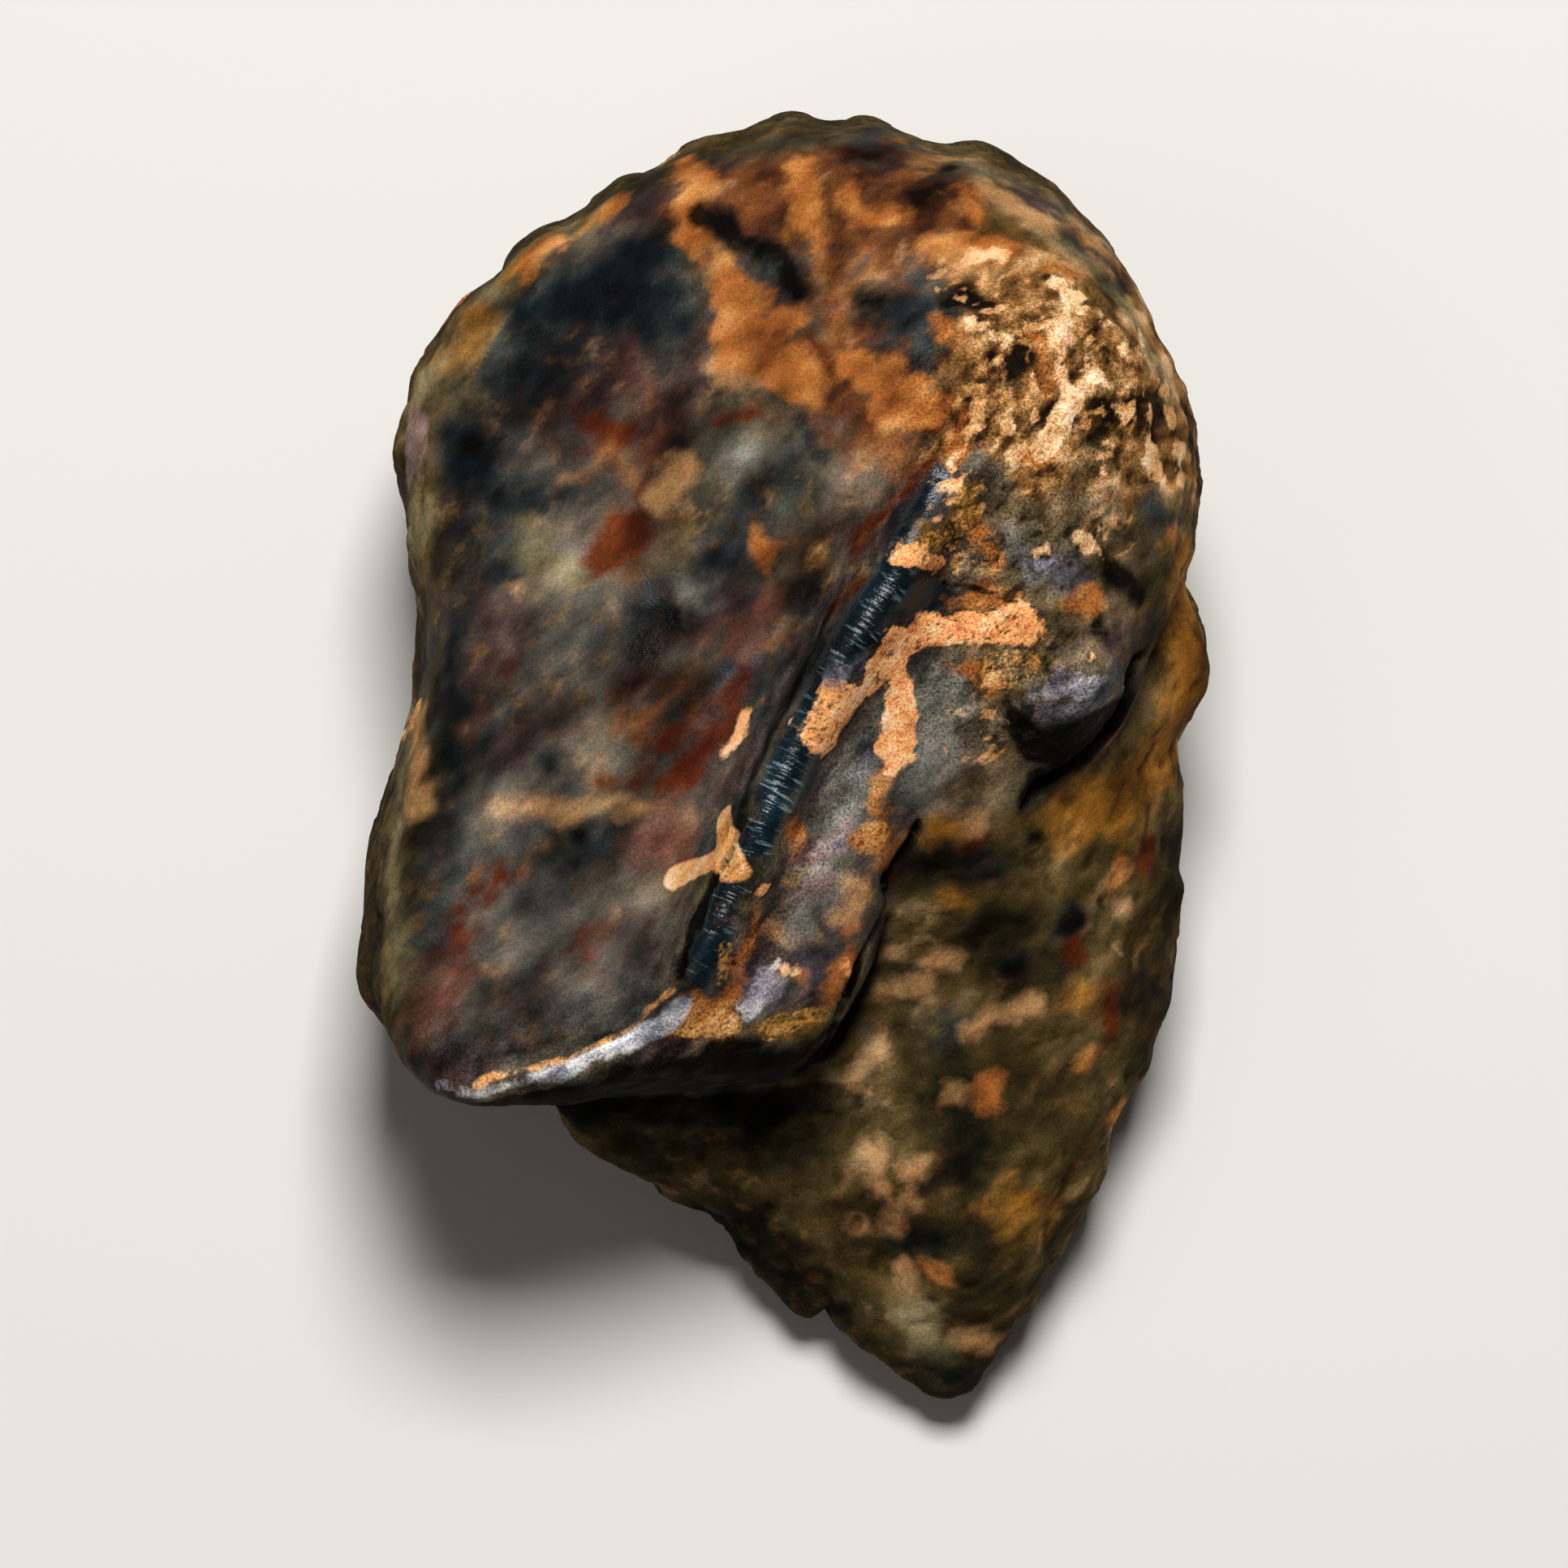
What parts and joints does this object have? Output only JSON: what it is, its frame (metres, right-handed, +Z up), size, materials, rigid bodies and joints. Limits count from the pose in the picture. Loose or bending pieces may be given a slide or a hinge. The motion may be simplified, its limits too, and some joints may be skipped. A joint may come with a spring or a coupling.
{
  "type": "fossil triceratops tooth",
  "caption": "Fossil tooth lying on its worn back: keeled crown with a flaring base lip, over a root that ends in two prongs.",
  "frame": {"origin": "on the ground, under the middle of the tooth's bounding box", "axes": "+Y towards the crown's apex, +Z up out of the keeled enamel face, +X to the right when the keel is looked at from above"},
  "size_m": [0.0208, 0.031, 0.0142],
  "materials": {
    "fossil_enamel": "satin"
  },
  "bodies": {
    "root": {"tooth": "fossil_enamel"}
  },
  "joints": []
}
